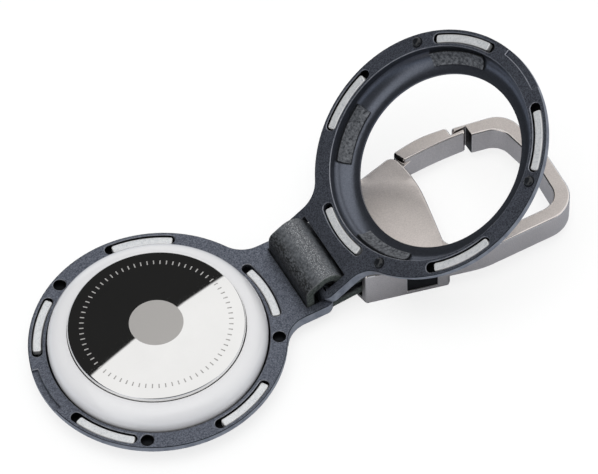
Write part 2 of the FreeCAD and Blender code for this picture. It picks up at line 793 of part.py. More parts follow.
def tag_pieces():
    crown_edge = tag_top - battery_cover_crown
    crown_radius = battery_cover_radius - battery_cover_edge
    crown_out, crown_drop = dome_middle(crown_radius, battery_cover_crown)
    cavity_floor = tag_bottom + tag_floor_wall
    flat_out, flat_drop = dome_middle(tag_flat_radius, tag_flat_rise)
    housing = turned([
        ((0.0, tag_bottom),),
        ((flat_out, tag_bottom + flat_drop), tag_flat_edge),
        (tag_side_middle, tag_equator),
        (bulge(tag_equator, (tag_radius, shoulder_z), shoulder_edge, tag_side_fullness), shoulder_edge),
        ((well_radius, shoulder_z),),
        ((well_radius, -tag_cavity_step),),
        ((tag_cavity_floor_radius, cavity_floor),),
        ((0.0, cavity_floor),),
    ])
    carrier_radius = well_radius - carrier_gap
    carrier_bore = carrier_radius - carrier_wall
    board_bottom = inner_piece_gap - tag_cavity_step
    carrier_bottom = board_bottom + board_thickness + inner_piece_gap
    carrier_deck = carrier_bottom + carrier_floor
    carrier_top = shoulder_z - carrier_top_drop
    ledge_bottom = carrier_top - bayonet_tab_height
    tab_top = ledge_bottom - bayonet_gap
    carrier = turned([
        ((0.0, carrier_bottom),),
        ((carrier_radius, carrier_bottom),),
        ((carrier_radius, carrier_top),),
        ((carrier_bore, carrier_top),),
        ((carrier_bore, carrier_deck),),
        ((0.0, carrier_deck),),
    ])
    cap_under = crown_edge - battery_cover_wall
    rim_bottom = carrier_top + bayonet_gap
    rim_inner = battery_cover_radius - battery_cover_rim
    skirt_inner = bayonet_skirt_radius - bayonet_skirt_wall
    skirt_bottom = tab_top - bayonet_tab_height
    cover = turned([
        ((0.0, tag_top),),
        ((crown_out, tag_top - crown_drop), (crown_radius, crown_edge)),
        ((battery_cover_radius, crown_edge - battery_cover_edge),),
        ((battery_cover_radius, rim_bottom),),
        ((rim_inner, rim_bottom),),
        ((rim_inner, cap_under),),
        ((bayonet_skirt_radius, cap_under),),
        ((bayonet_skirt_radius, skirt_bottom),),
        ((skirt_inner, skirt_bottom),),
        ((skirt_inner, cap_under),),
        ((0.0, cap_under),),
    ])
    places = [FULL_TURN * n / bayonet_count for n in range(bayonet_count)]
    tab_radius = bayonet_skirt_radius + bayonet_tab_reach
    skirt_middle = bayonet_skirt_radius - bayonet_skirt_wall / 2
    ledge_radius = bayonet_skirt_radius + bayonet_gap
    carrier_middle = carrier_radius - carrier_wall / 2
    ledges = [sector(ledge_radius, carrier_middle, ledge_bottom, carrier_top, a, bayonet_ledge_half_angle)
              for a in places]
    tabs = [sector(skirt_middle, tab_radius, skirt_bottom, tab_top, a, bayonet_tab_half_angle)
            for a in places]
    cell_bottom = carrier_deck + contact_thickness + 2 * inner_piece_gap
    cell = Part.makeCylinder(coin_cell_radius, coin_cell_thickness, vector(0, 0, cell_bottom))
    contact = box(contact_radius - contact_length / 2, contact_radius + contact_length / 2,
                  -contact_width / 2, contact_width / 2,
                  carrier_deck + inner_piece_gap, carrier_deck + inner_piece_gap + contact_thickness)
    contacts = []
    for angle in places:
        strip = contact.copy()
        strip.rotate(ZERO, ALONG_Z, angle)
        contacts.append(strip)
    coil_inner = speaker_magnet_radius + voice_coil_gap
    coil = Part.makeCylinder(coil_inner + voice_coil_wall, voice_coil_height,
                             vector(0, 0, cavity_floor + inner_piece_gap))
    coil_bore = Part.makeCylinder(coil_inner, voice_coil_height, vector(0, 0, cavity_floor + inner_piece_gap))
    board = Part.makeCylinder(carrier_radius - carrier_gap, board_thickness, vector(0, 0, board_bottom))
    board_hole = Part.makeCylinder(board_hole_radius, board_thickness, vector(0, 0, board_bottom))
    magnet_top = carrier_bottom - inner_piece_gap
    return {
        "tag_housing": housing,
        "tag_carrier": carrier.fuse(ledges),
        "battery_cover": cover.fuse(tabs),
        "coin_cell": cell.makeChamfer(coin_cell_edge, level_edges(cell, cell_bottom)),
        "battery_contacts": Part.makeCompound(contacts),
        "circuit_board": board.cut(board_hole),
        "speaker_magnet": Part.makeCylinder(speaker_magnet_radius, speaker_magnet_thickness,
                                            vector(0, 0, magnet_top), DOWN),
        "voice_coil": coil.cut(coil_bore),
    }


pieces = {"strap": strap()}
pieces.update(carabiner_pieces())
pieces.update(tray_pieces())
pieces.update(cover_pieces())
pieces.update(tag_pieces())

far_end = pieces["carabiner_frame"].optimalBoundingBox().XMax
middle_x = (far_end - ring_outer_radius) / 2
to_origin = vector(-middle_x, 0, shell_depth)
print("tray centre from origin:", to_origin)

os.makedirs("parts", exist_ok=True)
for name, shape in pieces.items():
    shape.translate(to_origin)
    shape.exportStep(f"parts/{name}.step")
    print(name, shape.isValid(), len(shape.Solids), round(shape.Volume, 2))
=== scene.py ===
import json
import math

import bmesh
import bpy
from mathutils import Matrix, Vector, noise


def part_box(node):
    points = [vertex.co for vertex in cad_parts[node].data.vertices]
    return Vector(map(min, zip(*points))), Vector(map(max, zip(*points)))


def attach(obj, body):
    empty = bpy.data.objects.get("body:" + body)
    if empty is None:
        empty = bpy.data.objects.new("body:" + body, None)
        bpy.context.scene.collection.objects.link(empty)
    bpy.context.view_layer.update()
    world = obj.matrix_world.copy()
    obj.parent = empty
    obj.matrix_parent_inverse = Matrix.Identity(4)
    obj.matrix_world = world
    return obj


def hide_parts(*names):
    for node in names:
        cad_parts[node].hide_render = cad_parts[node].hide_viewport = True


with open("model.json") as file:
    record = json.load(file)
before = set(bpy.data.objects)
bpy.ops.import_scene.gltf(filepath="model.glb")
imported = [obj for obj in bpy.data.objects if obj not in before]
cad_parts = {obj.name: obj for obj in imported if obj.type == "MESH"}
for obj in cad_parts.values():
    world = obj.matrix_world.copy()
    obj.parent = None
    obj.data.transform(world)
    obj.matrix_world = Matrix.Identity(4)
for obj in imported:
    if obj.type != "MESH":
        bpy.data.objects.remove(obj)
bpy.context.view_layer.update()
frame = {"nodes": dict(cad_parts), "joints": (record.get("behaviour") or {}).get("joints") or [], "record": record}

# Holder for a round tracker tag: two magnetic rings on a leather strap, and a small carabiner.
# Metres, in the frame of the solids. Sizes below are written in millimetres times MM.
MM = 0.001
JOINT_AT = {joint["name"]: Vector(joint.get("pos_m", (0, 0, 0))) for joint in frame["joints"]}
SLOT_OF = {part["node"]: part["material_slot"] for part in frame["record"]["subparts"]}
bodies = frame["record"]["behaviour"]["bodies"]
BODY_OF = {node: body for body, nodes in bodies.items() for node in nodes}

# Camera, as the photograph was taken
CAMERA_AIM = Vector((0.74, 0.49, 12.2)) * MM
CAMERA_TILT = math.radians(36.06)
CAMERA_ROLL = math.radians(1.78)
CAMERA_TURN = math.radians(-28.49)
CAMERA_DISTANCE = 500 * MM
CAMERA_SENSOR = 36.0
PHOTO_WIDTH = 598
PIXELS_PER_MM = 6.95

# Floor: a pale pane just below the object
WHITE = (1, 1, 1, 1)
FLOOR_SIZE = 6.0
FLOOR_LEVEL = -0.05 * MM
FLOOR_COLOUR = (0.60, 0.645, 0.72, 1)
FLOOR_GLOW = 0.2
FLOOR_CLEAR = 0.7                # share that the camera sees through the pane

# Light, and the room that the metal mirrors: white, with a dark wall behind and a dark near side.
# A side is the direction towards it. An edge is given as the pair of values that it blends between.
FILL_LIGHT = 0.5
SOFTBOX_PLACE = (-0.10, -0.12, 0.85)
SOFTBOX_SIZE = 0.7
SOFTBOX_POWER = 3.4
WALL_SIDE = (-0.346, 0.832, -0.434)
WALL_EDGE = (0.0105, 0.0135)
WALL_END_SIDE = (1.0, 1.0, 0.0)
WALL_END_EDGE = (0.92, 0.98)
WALL_LIGHT = 0.02
NEAR_SIDE = (-0.104, -0.934, 0.342)
NEAR_EDGE = (0.72, 0.90)
NEAR_LIGHT = 0.10

# Strap, as the solids have it, swelled to fill its slots from side to side
STRAP_WIDTH = 11.9 * MM
STRAP_THICKNESS = 1.2 * MM
STRAP_EDGE_ROUND = 0.16 * MM
STRAP_EDGE_STEPS = 5
STRAP_BACK = 3.2 * MM            # outside of the strap behind the hinges
STRAP_BAR_WRAP = 1.7 * MM        # bends, to the middle of the leather
STRAP_SHOULDER_WRAP = 1.1 * MM
STRAP_SHOULDER_RISE = 1.07 * MM
STRAP_RIDGE_WRAP = 1.8 * MM
STRAP_RIDGE_REACH = 1.45 * MM
STRAP_RIDGE_ANGLE = math.radians(76)
STRAP_DIP_RADIUS = 1.6 * MM
STRAP_DIP_LEAD = 3.5 * MM
STRAP_PIN_WRAP = 1.2 * MM
STRAP_STEP = 0.16 * MM
STRAP_RIPPLE = 0.05 * MM
STRAP_RIPPLE_SCALE = 520.0

# Wear of the leather and its painted sheen and glints: heights above the cover's hinge, and distances in from the
# strap's sides
PAINTED_SHEEN_RISE = (1.2 * MM, 3.0 * MM)
PAINTED_GLINT_RISE = (3.2 * MM, 3.75 * MM)
CRACKS_BEGIN = (0.4 * MM, 1.2 * MM)
CRACKS_END = (2.4 * MM, 3.1 * MM)
RAW_EDGE = (0.13 * MM, 0.04 * MM)
PALE_RIM = (0.34 * MM, 0.20 * MM)
PALE_RIM_SHARE = 0.35

# Grip pads
PAD_VOXEL = 0.11 * MM
PAD_SOFTENING = 4
PAD_GRITS = (0.01 * MM, 0.012 * MM, 0.045 * MM, 0.05 * MM)
PAD_GRIT_SCALE = 2600.0
PAD_FINE_GRIT = 2.1              # scale of the finer grit against the coarser one
PAD_FINE_SHARE = 0.5
PAD_EDGE_TURN = 0.6

# Steel disc of the tag, and the marks round it
disc_low, disc_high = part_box("battery_cover")
DISC_MIDDLE = ((disc_low.x + disc_high.x) / 2, (disc_low.y + disc_high.y) / 2, disc_high.z)
DISC_CROWN = 0.35 * MM
DISC_CROWN_RADIUS = 12.57 * MM
DISC_EDGE_TURN = 0.2
DISC_EDGE_SLACK = 0.02 * MM
SPOT_RADIUS = 3.9 * MM
SPOT_EDGE = 0.03 * MM
MARK_COUNT = 72
MARK_RADIUS = 10.6 * MM
MARK_LENGTH = 0.95 * MM
MARK_WIDTH = 0.17 * MM
MARK_HEIGHT = 0.012 * MM

# Edge breaks on the metal
WELD = 0.0005 * MM
SHORT_EDGE = 0.02 * MM
COPLANAR_ANGLE = math.radians(0.3)
SHARP_ANGLE = math.radians(28)
SQUARE_ANGLE = math.radians(60)
RING_EDGE = 0.10 * MM
METAL_EDGE = 0.06 * MM
MAGNET_EDGE = 0.14 * MM
EDGE_SEGMENTS = 2
MAGNET_CORNER = 0.32 * MM
CORNER_SEGMENTS = 5
UPRIGHT = 0.99
SHADING_WEIGHT = 80

# Carabiner: its chamfers, and the narrow gaps at both ends of the gate, whose faces are painted dark as shade
CHAMFER_RISE = 0.5 * MM
CHAMFER_NORMAL = (0.66, 0.76)
HOOK_END_TURN = -0.8
GATE_ROOT_TURN = -0.5
GAP_REACH = 0.3 * MM
gate_low, gate_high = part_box("gate")

# Rings. A lie is a ring's hinge, the direction along its neck, and the direction that its face looks.
# A reach goes out from the middle of the face, and a depth goes down from the face.
COVER_TILT = math.radians(32)
TRAY_LIE = (JOINT_AT["tray_fold"], Vector((-1, 0, 0)), Vector((0, 0, 1)))
COVER_LIE = (JOINT_AT["cover_fold"], Vector((math.cos(COVER_TILT), 0, math.sin(COVER_TILT))),
             Vector((-math.sin(COVER_TILT), 0, math.cos(COVER_TILT))))
BAR_RADIUS = 0.9 * MM
HINGE_TO_MIDDLE = 24.5 * MM
FACE_LEVEL = 0.05 * MM
BACK_TURN = -0.1
# Painted shade: the slots and holes are painted black, the wall below the face's inner edge and the bowl dimmer,
# and a dark line runs along the outline
BAND_RADIUS = 17.475 * MM        # band of slots and holes
BAND_HALF = 1.0 * MM
BAND_DEPTHS = (0.46 * MM, 1.6 * MM)
STEP_REACH = 16.2 * MM           # wall below the inner edge of the face
STEP_HALF = 0.1 * MM
STEP_DEPTH = 1.2 * MM
STEP_PAINTED_SHADE = 0.55
BOWL_DARK = 0.2
BOWL_SMOOTH = 0.7
BOWL_REACH = 13.6 * MM           # middle of the cover's curved bowl
BOWL_DEPTH = 0.9 * MM
OUTLINE_REACH = 18.5 * MM
OUTLINE_PAINTED_SHADE = 0.8
NECK_HALF_WIDTH = 6.3 * MM
# Painted highlight: the side wall round the outline is painted light, as the pale floor's reflection
RIM_TURN = 0.35
RIM_SHEEN_PAINT = 1.4


# Nodes
def put(tree, value, socket):
    """Set a socket to a value, or link it to the socket that feeds it."""
    if isinstance(value, bpy.types.NodeSocket):
        tree.links.new(value, socket)
    else:
        socket.default_value = value


def add_node(tree, kind, settings=None, **inputs):
    """New node in a tree; an input is a value, or the socket that feeds it."""
    node = tree.nodes.new(kind)
    for name, value in (settings or {}).items():
        setattr(node, name, value)
    for name, value in inputs.items():
        put(tree, value, node.inputs[name.replace("_", " ")])
    return node


def add_in_order(tree, kind, values, operation=None):
    """New node whose inputs are given in their order; returns its outputs."""
    node = tree.nodes.new(kind)
    if operation is not None:
        node.operation = operation
    for socket, value in zip(node.inputs, values):
        put(tree, value, socket)
    return node.outputs


def calculate(tree, operation, *values):
    """Sum or comparison of plain numbers."""
    return add_in_order(tree, "ShaderNodeMath", values, operation)[0]


def calculate_vector(tree, operation, *values):
    """Sum on vectors; the result is in the output Vector or Value."""
    return add_in_order(tree, "ShaderNodeVectorMath", values, operation)


def spread(tree, value, low, high, to_low=0.0, to_high=1.0):
    """Value from the range low to high, fitted to the range to_low to to_high."""
    return add_in_order(tree, "ShaderNodeMapRange", (value, low, high, to_low, to_high))["Result"]


def mix_shaders(tree, factor, first, second):
    """First shader where the factor is 0, second where it is 1."""
    return add_in_order(tree, "ShaderNodeMixShader", (factor, first, second))[0]


def mix_colours(tree, factor, first, second):
    """First colour where the factor is 0, second where it is 1."""
    node = tree.nodes.new("ShaderNodeMix")
    node.data_type = "RGBA"
    put(tree, factor, node.inputs["Factor"])
    put(tree, first, node.inputs[6])
    put(tree, second, node.inputs[7])
    return node.outputs[2]


def painted(tree, name):
    """Value that the pieces carry in a named attribute."""
    return add_node(tree, "ShaderNodeAttribute", {"attribute_name": name}).outputs["Fac"]


def new_group(name, inputs, outputs):
    """Empty shader group with named sockets."""
    group = bpy.data.node_groups.new(name, "ShaderNodeTree")
    for socket_name, kind, value in inputs:
        socket = group.interface.new_socket(socket_name, in_out="INPUT", socket_type=kind)
        if value is not None:
            socket.default_value = value
    for socket_name, kind in outputs:
        group.interface.new_socket(socket_name, in_out="OUTPUT", socket_type=kind)
    return group, group.nodes.new("NodeGroupInput").outputs, group.nodes.new("NodeGroupOutput").inputs


def blasted_grain_group():
    """Fine blasted grain with slower cloudy patches under it."""
    tree, given, made = new_group(
        "blasted grain",
        [("Vector", "NodeSocketVector", None), ("Grain", "NodeSocketFloat", 5000.0),
         ("Patch", "NodeSocketFloat", 300.0)],
        [("Height", "NodeSocketFloat"), ("Shade", "NodeSocketFloat"), ("Patches", "NodeSocketFloat")],
    )
    grain = add_node(tree, "ShaderNodeTexNoise", Vector=given["Vector"], Scale=given["Grain"],
                     Detail=3.0, Roughness=0.65).outputs["Fac"]
    patch = add_node(tree, "ShaderNodeTexNoise", Vector=given["Vector"], Scale=given["Patch"],
                     Detail=4.0, Roughness=0.6).outputs["Fac"]
    put(tree, grain, made["Height"])
    put(tree, spread(tree, grain, 0.32, 0.68), made["Shade"])
    put(tree, spread(tree, patch, 0.35, 0.65), made["Patches"])
    return tree


def edge_wear_group():
    """Where an edge break shows through the finish, a little broken up; on the rings' rims it carries a painted
    highlight.
    """
    tree, given, made = new_group(
        "edge wear",
        [("Vector", "NodeSocketVector", None), ("Breakup", "NodeSocketFloat", 900.0),
         ("Amount", "NodeSocketFloat", 1.0)],
        [("Mask", "NodeSocketFloat")],
    )
    cloud = add_node(tree, "ShaderNodeTexNoise", Vector=given["Vector"], Scale=given["Breakup"], Detail=3.0)
    rubbed_and_sheen = spread(tree, cloud.outputs["Fac"], 0.3, 0.62, 0.35, 1.0)
    shown = calculate(tree, "MULTIPLY", painted(tree, "edge"), rubbed_and_sheen)
    put(tree, calculate(tree, "MULTIPLY", shown, given["Amount"]), made["Mask"])
    return tree


GRAIN = blasted_grain_group()
WEAR = edge_wear_group()


def place_group(tree, group, **inputs):
    """Shader group placed in a material; returns its outputs."""
    node = tree.nodes.new("ShaderNodeGroup")
    node.node_tree = group
    for name, value in inputs.items():
        put(tree, value, node.inputs[name])
    return node.outputs


# Finishes
def new_finish(name, **shader_inputs):
    """Material with a Principled shader; returns it with its tree, shader inputs and object coordinates."""
    material = bpy.data.materials.new(name)
    material.use_nodes = True
    tree = material.node_tree
    shader = next(n for n in tree.nodes if n.type == "BSDF_PRINCIPLED")
    for socket_name, value in shader_inputs.items():
        shader.inputs[socket_name.replace("_", " ")].default_value = value
    place = tree.nodes.new("ShaderNodeTexCoord").outputs["Object"]
    return material, tree, shader.inputs, place


def add_bump(tree, shader, height, depth, strength):
    """Relief of a finish."""
    bump = add_node(tree, "ShaderNodeBump", Height=height, Distance=depth, Strength=strength)
    put(tree, bump.outputs["Normal"], shader["Normal"])


def carabiner_finish():
    """Warm grey blasted metal with polished edges, with painted shade on the faces in its narrow gaps."""
    material, tree, shader, place = new_finish("carabiner_metal", Metallic=1.0)
    grain = place_group(tree, GRAIN, Vector=place, Grain=5200.0, Patch=220.0)
    wear = place_group(tree, WEAR, Vector=place, Breakup=80.0)["Mask"]
    cloud = calculate(tree, "MULTIPLY", grain["Patches"], 0.25)
    speckle = calculate(tree, "MULTIPLY_ADD", grain["Shade"], 0.75, cloud)
    body = mix_colours(tree, speckle, (0.54, 0.497, 0.473, 1), (0.73, 0.673, 0.640, 1))
    polished = mix_colours(tree, wear, body, (0.80, 0.755, 0.725, 1))
    # Painted shade: the faces in the gaps at the gate's ends are painted near black
    gap = (0.020, 0.020, 0.021, 1)
    put(tree, mix_colours(tree, painted(tree, "painted_shade"), polished, gap), shader["Base Color"])
    rough = spread(tree, grain["Shade"], 0.0, 1.0, 0.31, 0.38)
    put(tree, spread(tree, wear, 0.0, 1.0, rough, 0.14), shader["Roughness"])
    relief = calculate(tree, "MULTIPLY", grain["Height"], spread(tree, wear, 0.0, 1.0, 1.0, 0.0))
    add_bump(tree, shader, relief, 0.012 * MM, 0.6)
    return material


def ring_finish():
    """Dark slate blasted coat, rubbed light along the edges, with a painted highlight on the outer rim, smooth in
    the bowl, and painted shade: black in the slots, dimmer on the wall and bowl, a dark line on the outline.
    """
    material, tree, shader, place = new_finish("ring_coat", Metallic=0.85)
    grain = place_group(tree, GRAIN, Vector=place, Grain=4800.0, Patch=260.0)
    # The edge mark carries real edge wear, and on the rim a painted highlight
    wear = place_group(tree, WEAR, Vector=place, Breakup=700.0, Amount=0.55)["Mask"]
    painted_shade = painted(tree, "painted_shade")
    smooth = spread(tree, painted_shade, 0.0, BOWL_DARK, 0.0, BOWL_SMOOTH)
    coarse = mix_colours(tree, grain["Shade"], (0.061, 0.070, 0.092, 1), (0.238, 0.258, 0.312, 1))
    body = mix_colours(tree, smooth, coarse, (0.172, 0.189, 0.230, 1))
    worn_and_rim_sheen = mix_colours(tree, wear, body, (0.42, 0.43, 0.46, 1))
    # Painted shade: slots and holes near black, the wall and bowl dimmer, a dark line on the outline
    put(tree, mix_colours(tree, painted_shade, worn_and_rim_sheen, (0.010, 0.011, 0.013, 1)), shader["Base Color"])
    blasted = spread(tree, grain["Patches"], 0.0, 1.0, 0.40, 0.47)
    rough = spread(tree, smooth, 0.0, BOWL_SMOOTH, blasted, 0.30)
    put(tree, spread(tree, wear, 0.0, 1.0, rough, 0.26), shader["Roughness"])
    add_bump(tree, shader, grain["Height"], 0.03 * MM, spread(tree, smooth, 0.0, BOWL_SMOOTH, 0.7, 0.15))
    return material


def magnet_finish():
    """Dull mottled plating with brighter edges."""
    material, tree, shader, place = new_finish("magnet_metal", Metallic=0.45)
    grain = place_group(tree, GRAIN, Vector=place, Grain=4200.0, Patch=2300.0)
    wear = place_group(tree, WEAR, Vector=place, Breakup=900.0)["Mask"]
    mottled = mix_colours(tree, grain["Patches"], (0.64, 0.68, 0.715, 1), (0.90, 0.92, 0.935, 1))
    plated = mix_colours(tree, grain["Shade"], mottled, (0.95, 0.96, 0.97, 1))
    put(tree, mix_colours(tree, wear, plated, (0.98, 0.98, 0.98, 1)), shader["Base Color"])
    put(tree, spread(tree, grain["Shade"], 0.0, 1.0, 0.36, 0.55), shader["Roughness"])
    add_bump(tree, shader, grain["Height"], 0.03 * MM, 0.7)
    return material


def leather_finish():
    """Black pebbled leather with a painted grey sheen over the fold and painted glints on its ridge, cracked along
    its bend, with raw cut edges.
    """
    material, tree, shader, place = new_finish("strap_leather", Specular_IOR_Level=0.55)
    grain = place_group(tree, GRAIN, Vector=place, Grain=2500.0, Patch=1300.0)
    pebble = add_node(tree, "ShaderNodeTexVoronoi", {"feature": "F1"}, Vector=place, Scale=2100.0)
    stretched = add_node(tree, "ShaderNodeMapping", Vector=place, Scale=(1.0, 0.55, 1.0)).outputs[0]
    crease = add_node(tree, "ShaderNodeTexNoise", Vector=stretched, Scale=4300.0, Detail=3.0)
    glint_noise = add_node(tree, "ShaderNodeTexNoise", Vector=place, Scale=6200.0, Detail=3.0)
    axes = add_node(tree, "ShaderNodeSeparateXYZ", Vector=place).outputs

    aside = calculate(tree, "ABSOLUTE", axes["Y"])
    half = STRAP_WIDTH / 2
    cut = spread(tree, aside, half - RAW_EDGE[0], half - RAW_EDGE[1])
    rim = calculate(tree, "SUBTRACT", spread(tree, aside, half - PALE_RIM[0], half - PALE_RIM[1]), cut)
    hinge = JOINT_AT["cover_fold"].z
    # Painted light: a grey sheen painted on the fold's upper faces by height, and bright glints on its ridge
    rubbed_and_sheen = spread(tree, axes["Z"], hinge + PAINTED_SHEEN_RISE[0], hinge + PAINTED_SHEEN_RISE[1])
    glint_band = spread(tree, axes["Z"], hinge + PAINTED_GLINT_RISE[0], hinge + PAINTED_GLINT_RISE[1])
    bend_begun = spread(tree, axes["Z"], hinge + CRACKS_BEGIN[0], hinge + CRACKS_BEGIN[1])
    bend_ended = spread(tree, axes["Z"], hinge + CRACKS_END[0], hinge + CRACKS_END[1])
    bend = calculate(tree, "SUBTRACT", bend_begun, bend_ended)

    crack = calculate(tree, "MULTIPLY", bend, spread(tree, crease.outputs["Fac"], 0.47, 0.53))
    sheen_specks = calculate(tree, "MULTIPLY", rubbed_and_sheen, spread(tree, grain["Shade"], 0.0, 1.0, 0.2, 1.0))
    painted_glints = calculate(tree, "MULTIPLY", glint_band, spread(tree, glint_noise.outputs["Fac"], 0.50, 0.66))
    black = mix_colours(tree, grain["Patches"], (0.006, 0.007, 0.009, 1), (0.030, 0.033, 0.038, 1))
    # Painted sheen over the black leather
    face = mix_colours(tree, sheen_specks, black, (0.142, 0.153, 0.167, 1))
    with_glints = mix_colours(tree, painted_glints, face, (0.40, 0.41, 0.425, 1))
    cracked = mix_colours(tree, crack, with_glints, (0.006, 0.007, 0.008, 1))
    pale = calculate(tree, "MULTIPLY", rim, PALE_RIM_SHARE)
    edged = mix_colours(tree, pale, cracked, (0.19, 0.20, 0.20, 1))
    raw = mix_colours(tree, grain["Shade"], (0.020, 0.027, 0.024, 1), (0.110, 0.126, 0.114, 1))
    put(tree, mix_colours(tree, cut, edged, raw), shader["Base Color"])
    rough = spread(tree, grain["Shade"], 0.0, 1.0, 0.40, 0.58)
    put(tree, spread(tree, cut, 0.0, 1.0, rough, 0.9), shader["Roughness"])
    pitted = calculate(tree, "SUBTRACT", grain["Height"], crack)
    relief = calculate(tree, "ADD", pebble.outputs["Distance"], pitted)
    add_bump(tree, shader, relief, 0.13 * MM, 0.9)
    return material


def pad_finish():
    """Grey gritty friction pad, with painted shade round its edge."""
    material, tree, shader, place = new_finish("pad_felt", Specular_IOR_Level=0.35)
    grain = place_group(tree, GRAIN, Vector=place, Grain=2300.0, Patch=700.0)
    body = mix_colours(tree, grain["Shade"], (0.028, 0.031, 0.037, 1), (0.195, 0.205, 0.222, 1))
    # Painted shade on the pad's side walls
    edge_shade = (0.012, 0.013, 0.015, 1)
    put(tree, mix_colours(tree, painted(tree, "edge"), body, edge_shade), shader["Base Color"])
    put(tree, spread(tree, grain["Patches"], 0.0, 1.0, 0.55, 0.75), shader["Roughness"])
    add_bump(tree, shader, grain["Height"], 0.12 * MM, 0.9)
    return material


def tag_white_finish():
    """Glossy white moulded plastic."""
    material, tree, shader, place = new_finish("tag_white", Coat_Weight=0.4, Coat_Roughness=0.05)
    grain = place_group(tree, GRAIN, Vector=place, Grain=900.0, Patch=90.0)
    body = mix_colours(tree, grain["Patches"], (0.86, 0.86, 0.875, 1), (0.89, 0.89, 0.90, 1))
    put(tree, body, shader["Base Color"])
    put(tree, spread(tree, grain["Shade"], 0.0, 1.0, 0.14, 0.19), shader["Roughness"])
    return material


def tag_steel_finish():
    """Polished steel with a plain matt spot in the middle."""
    material, tree, shader, place = new_finish("tag_steel", Metallic=1.0)
    grain = place_group(tree, GRAIN, Vector=place, Grain=3000.0, Patch=120.0)
    out = calculate_vector(tree, "SUBTRACT", place, DISC_MIDDLE)["Vector"]
    flat = calculate_vector(tree, "MULTIPLY", out, (1, 1, 0))["Vector"]
    reach = calculate_vector(tree, "LENGTH", flat)["Value"]
    spot = spread(tree, reach, SPOT_RADIUS, SPOT_RADIUS + SPOT_EDGE, 1.0, 0.0)
    steel = mix_colours(tree, grain["Patches"], (0.83, 0.825, 0.815, 1), (0.86, 0.855, 0.845, 1))
    put(tree, mix_colours(tree, spot, steel, (0.47, 0.455, 0.44, 1)), shader["Base Color"])
    mirror = spread(tree, grain["Shade"], 0.0, 1.0, 0.012, 0.022)
    put(tree, spread(tree, spot, 0.0, 1.0, mirror, 0.45), shader["Roughness"])
    put(tree, spread(tree, spot, 0.0, 1.0, 1.0, 0.25), shader["Metallic"])
    return material


def plain_finish(name, dark, light, roughness, grain_scale, shader_inputs):
    """Finish of two close shades for the small and inner pieces."""
    material, tree, shader, place = new_finish(name, **shader_inputs)
    grain = place_group(tree, GRAIN, Vector=place, Grain=grain_scale, Patch=grain_scale / 8)
    put(tree, mix_colours(tree, grain["Patches"], (*dark, 1), (*light, 1)), shader["Base Color"])
    put(tree, spread(tree, grain["Shade"], 0.0, 1.0, *roughness), shader["Roughness"])
    return material


# Name, darker and lighter shade, roughness from and to, scale of the grain, other inputs of the shader
PLAIN_FINISHES = (
    ("pin_steel", (0.55, 0.55, 0.54), (0.66, 0.66, 0.65), (0.2, 0.3), 4000.0, {"Metallic": 1.0}),
    ("window_black", (0.003, 0.003, 0.004), (0.007, 0.007, 0.008), (0.35, 0.50), 2500.0,
     {"Specular_IOR_Level": 0.12}),
    ("peg_black", (0.008, 0.009, 0.011), (0.016, 0.018, 0.021), (0.10, 0.18), 3000.0, {}),
    ("tag_inside", (0.085, 0.085, 0.086), (0.115, 0.115, 0.116), (0.4, 0.5), 1500.0, {}),
    ("cell_steel", (0.60, 0.60, 0.59), (0.70, 0.70, 0.69), (0.22, 0.32), 2500.0, {"Metallic": 1.0}),
    ("contact_brass", (0.66, 0.47, 0.20), (0.76, 0.56, 0.27), (0.25, 0.36), 3000.0, {"Metallic": 1.0}),
    ("board_green", (0.038, 0.150, 0.082), (0.056, 0.200, 0.112), (0.3, 0.42), 2000.0, {}),
    ("etched_steel", (0.44, 0.43, 0.42), (0.50, 0.49, 0.48), (0.42, 0.5), 2500.0, {"Metallic": 0.3}),
)
FINISHES = {
    "carabiner_metal": carabiner_finish(),
    "ring_coat": ring_finish(),
    "magnet_metal": magnet_finish(),
    "strap_leather": leather_finish(),
    "pad_felt": pad_finish(),
    "tag_white": tag_white_finish(),
    "tag_steel": tag_steel_finish(),
}
for row in PLAIN_FINISHES:
    FINISHES[row[0]] = plain_finish(*row)


# Pieces
def add_object(name, data):
    """New object in the scene."""
    added = bpy.data.objects.new(name, data)
    bpy.context.scene.collection.objects.link(added)
    return added


def settled_mesh(name, carrier):
    """Plain mesh that an object's modifiers make; the object itself goes."""
    shape = carrier.evaluated_get(bpy.context.evaluated_depsgraph_get())
    mesh = bpy.data.meshes.new_from_object(shape)
    mesh.name = name
    bpy.data.objects.remove(carrier)
    return mesh


def new_piece(name, mesh, node):
    """Shown piece that stands for a solid, with that solid's body and finish."""
    piece = add_object(name, mesh)
    mesh.materials.clear()
    mesh.materials.append(FINISHES[SLOT_OF[node]])
    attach(piece, BODY_OF[node])
    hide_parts(node)
    return piece


def merged_copy(node):
    """The solid's mesh welded, with its flat faces joined up."""
    work = bmesh.new()
    work.from_mesh(frame["nodes"][node].data)
    bmesh.ops.remove_doubles(work, verts=work.verts, dist=WELD)
    bmesh.ops.dissolve_limit(work, angle_limit=COPLANAR_ANGLE, verts=work.verts, edges=work.edges)
    bmesh.ops.dissolve_degenerate(work, dist=SHORT_EDGE, edges=work.edges)
    return work


def plain_mesh(name, work):
    """Mesh of the finished work."""
    mesh = bpy.data.meshes.new(name)
    work.to_mesh(mesh)
    work.free()
    return mesh


# How light or dark the faces of the metal are: polish on the chamfers, painted shade in gaps, slots, walls and
# bowls, and a painted highlight on the rings' rims. Each value is kept on the face, for its finish.
def chamfer_light(face):
    """Polish on a narrow sloping face between a side and a top or bottom."""
    heights = [v.co.z for v in face.verts]
    slope = abs(face.normal.z)
    return CHAMFER_NORMAL[0] < slope < CHAMFER_NORMAL[1] and max(heights) - min(heights) < CHAMFER_RISE


def hook_gap_shade(face):
    """End face of the hook in the gap before the gate's tip, painted dark as shade."""
    middle = face.calc_center_median()
    beside_gate = middle.x > gate_high.x - GAP_REACH and middle.y > gate_low.y
    return face.normal.x <= HOOK_END_TURN and beside_gate


